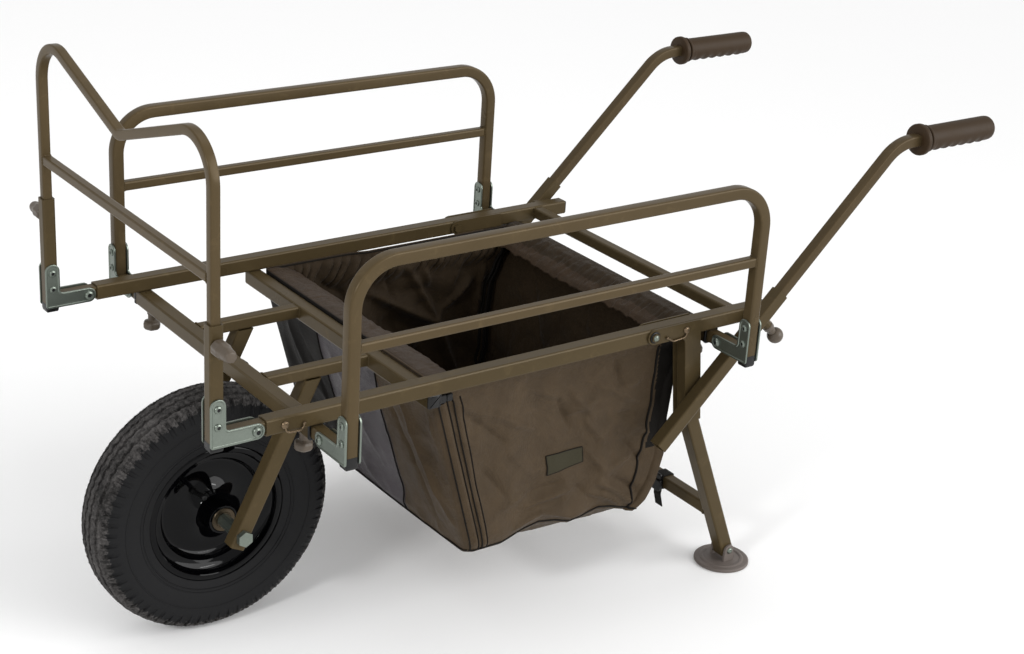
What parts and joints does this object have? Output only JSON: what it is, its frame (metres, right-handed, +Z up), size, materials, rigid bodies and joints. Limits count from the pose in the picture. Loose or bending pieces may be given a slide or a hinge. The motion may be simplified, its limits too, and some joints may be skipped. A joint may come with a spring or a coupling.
{
  "type": "fishing trolley",
  "caption": "One-wheel fishing trolley: square-tube deck with folding front and side gates, telescopic handles, folding legs and an under-deck bag.",
  "frame": {"origin": "middle of the footprint, on the ground", "axes": "+X towards the handles, +Y to the right hand of whoever pushes it forwards (towards -X) and +Z up"},
  "size_m": [1.55, 0.774, 0.9047],
  "materials": {
    "frame": "satin powder coat",
    "gate": "satin powder coat",
    "slide": "satin powder coat",
    "handle": "satin powder coat",
    "zinc": "bright zinc plate",
    "tyre": "matt ribbed rubber",
    "rim": "gloss black enamel",
    "grip": "matt moulded rubber",
    "knob": "matt moulded plastic",
    "foot": "matt moulded plastic",
    "bag": "coated woven nylon"
  },
  "bodies": {
    "deck": {"rail_left": "frame", "rail_right": "frame", "front_crossbar": "frame", "bag_crossbar": "frame", "rear_slide_crossbar": "frame", "rear_crossbar": "frame", "fork_beam_left": "frame", "fork_beam_right": "frame", "fork_arm_left": "frame", "fork_arm_right": "frame", "axle": "zinc", "handle_sleeve_left": "frame", "handle_sleeve_right": "frame", "bag": "bag"},
    "wheel": {"tyre": "tyre", "rim": "rim", "bearing_left": "zinc", "bearing_right": "zinc"},
    "front_slides": {"front_slide_left": "slide", "front_slide_right": "slide"},
    "gate_carrier": {"gate_sleeve_left": "frame", "gate_sleeve_right": "frame", "gate_bracket_left": "zinc", "gate_bracket_right": "zinc"},
    "front_gate": {"gate_hoop": "gate", "gate_bar": "gate"},
    "leg_frame": {"leg_left": "frame", "leg_right": "frame", "leg_crossbar": "frame"},
    "left_width_slides": {"side_slide_front_left": "slide", "side_slide_rear_left": "slide"},
    "left_side_gate": {"side_hoop_left": "gate", "side_bar_left": "gate", "side_bracket_front_left": "zinc", "side_bracket_rear_left": "zinc"},
    "right_width_slides": {"side_slide_front_right": "slide", "side_slide_rear_right": "slide"},
    "right_side_gate": {"side_hoop_right": "gate", "side_bar_right": "gate", "side_bracket_front_right": "zinc", "side_bracket_rear_right": "zinc"},
    "left_handle": {"handle_left": "handle", "grip_left": "grip"},
    "right_handle": {"handle_right": "handle", "grip_right": "grip"},
    "left_foot": {"foot_left": "foot"},
    "right_foot": {"foot_right": "foot"},
    "left_front_knob": {"crossbar_knob_front_left": "knob"},
    "left_rear_knob": {"crossbar_knob_rear_left": "knob"},
    "left_gate_knob": {"gate_knob_left": "knob"},
    "left_handle_knob": {"handle_knob_left": "knob"},
    "left_front_pin": {"front_pin_left": "zinc"},
    "left_leg_pin": {"leg_pin_left": "zinc"},
    "right_front_knob": {"crossbar_knob_front_right": "knob"},
    "right_rear_knob": {"crossbar_knob_rear_right": "knob"},
    "right_gate_knob": {"gate_knob_right": "knob"},
    "right_handle_knob": {"handle_knob_right": "knob"},
    "right_front_pin": {"front_pin_right": "zinc"},
    "right_leg_pin": {"leg_pin_right": "zinc"}
  },
  "joints": [
    {"name": "wheel_spin", "type": "hinge", "parent": "deck", "child": "wheel", "pos_m": [-0.572, 0, 0.203], "axis": [0, 1, 0], "continuous": true},
    {"name": "front_extension", "type": "slide", "parent": "deck", "child": "front_slides", "axis": [-1, 0, 0], "range_m": [0, 0.15]},
    {"name": "front_gate_fold", "type": "hinge", "parent": "front_slides", "child": "gate_carrier", "pos_m": [-0.644, 0, 0.476], "axis": [0, 1, 0], "range_deg": [0, 90]},
    {"name": "front_gate_height", "type": "slide", "parent": "gate_carrier", "child": "front_gate", "axis": [0, 0, 1], "range_m": [-0.055, 0.08]},
    {"name": "side_width_left", "type": "slide", "parent": "deck", "child": "left_width_slides", "axis": [0, -1, 0], "range_m": [0, 0.15]},
    {"name": "side_fold_left", "type": "hinge", "parent": "left_width_slides", "child": "left_side_gate", "pos_m": [-0.172, -0.315, 0.4507], "axis": [-1, 0, 0], "range_deg": [0, 90]},
    {"name": "side_width_right", "type": "slide", "parent": "deck", "child": "right_width_slides", "axis": [0, 1, 0], "range_m": [0, 0.15]},
    {"name": "side_fold_right", "type": "hinge", "parent": "right_width_slides", "child": "right_side_gate", "pos_m": [-0.172, 0.315, 0.4507], "axis": [1, 0, 0], "range_deg": [0, 90]},
    {"name": "handle_length_left", "type": "slide", "parent": "deck", "child": "left_handle", "axis": [0.7193, 0, 0.6947], "range_m": [-0.11, 0.1]},
    {"name": "handle_length_right", "type": "slide", "parent": "deck", "child": "right_handle", "axis": [0.7193, 0, 0.6947], "range_m": [-0.11, 0.1]},
    {"name": "leg_fold", "type": "hinge", "parent": "deck", "child": "leg_frame", "pos_m": [0.068, 0, 0.476], "axis": [0, 1, 0], "range_deg": [0, 100], "deforming": ["bag"]},
    {"name": "foot_swivel_left", "type": "hinge", "parent": "leg_frame", "child": "left_foot", "pos_m": [0.286, -0.282, 0.027], "axis": [0, 1, 0], "range_deg": [-20, 20]},
    {"name": "foot_swivel_right", "type": "hinge", "parent": "leg_frame", "child": "right_foot", "pos_m": [0.286, 0.282, 0.027], "axis": [0, 1, 0], "range_deg": [-20, 20]},
    {"name": "crossbar_clamp_front_left", "type": "hinge", "parent": "deck", "child": "left_front_knob", "pos_m": [-0.544, -0.25, 0.4207], "axis": [0, 0, 1], "range_deg": [0, 90]},
    {"name": "crossbar_clamp_rear_left", "type": "hinge", "parent": "deck", "child": "left_rear_knob", "pos_m": [0.199, -0.25, 0.4207], "axis": [0, 0, 1], "range_deg": [0, 90]},
    {"name": "gate_clamp_left", "type": "hinge", "parent": "gate_carrier", "child": "left_gate_knob", "pos_m": [-0.704, -0.31, 0.616], "axis": [0, -1, 0], "range_deg": [0, 90]},
    {"name": "handle_clamp_left", "type": "hinge", "parent": "deck", "child": "left_handle_knob", "pos_m": [0.281, -0.313, 0.476], "axis": [0.6947, 0, -0.7193], "range_deg": [0, 90]},
    {"name": "front_pin_pull_left", "type": "slide", "parent": "deck", "child": "left_front_pin", "axis": [0, -1, 0], "range_m": [0, 0.03]},
    {"name": "leg_pin_pull_left", "type": "slide", "parent": "leg_frame", "child": "left_leg_pin", "axis": [0, -1, 0], "range_m": [0, 0.03]},
    {"name": "crossbar_clamp_front_right", "type": "hinge", "parent": "deck", "child": "right_front_knob", "pos_m": [-0.544, 0.25, 0.4207], "axis": [0, 0, 1], "range_deg": [0, 90]},
    {"name": "crossbar_clamp_rear_right", "type": "hinge", "parent": "deck", "child": "right_rear_knob", "pos_m": [0.199, 0.25, 0.4207], "axis": [0, 0, 1], "range_deg": [0, 90]},
    {"name": "gate_clamp_right", "type": "hinge", "parent": "gate_carrier", "child": "right_gate_knob", "pos_m": [-0.704, 0.31, 0.616], "axis": [0, 1, 0], "range_deg": [0, 90]},
    {"name": "handle_clamp_right", "type": "hinge", "parent": "deck", "child": "right_handle_knob", "pos_m": [0.281, 0.313, 0.476], "axis": [0.6947, 0, -0.7193], "range_deg": [0, 90]},
    {"name": "front_pin_pull_right", "type": "slide", "parent": "deck", "child": "right_front_pin", "axis": [0, 1, 0], "range_m": [0, 0.03]},
    {"name": "leg_pin_pull_right", "type": "slide", "parent": "leg_frame", "child": "right_leg_pin", "axis": [0, 1, 0], "range_m": [0, 0.03]}
  ]
}
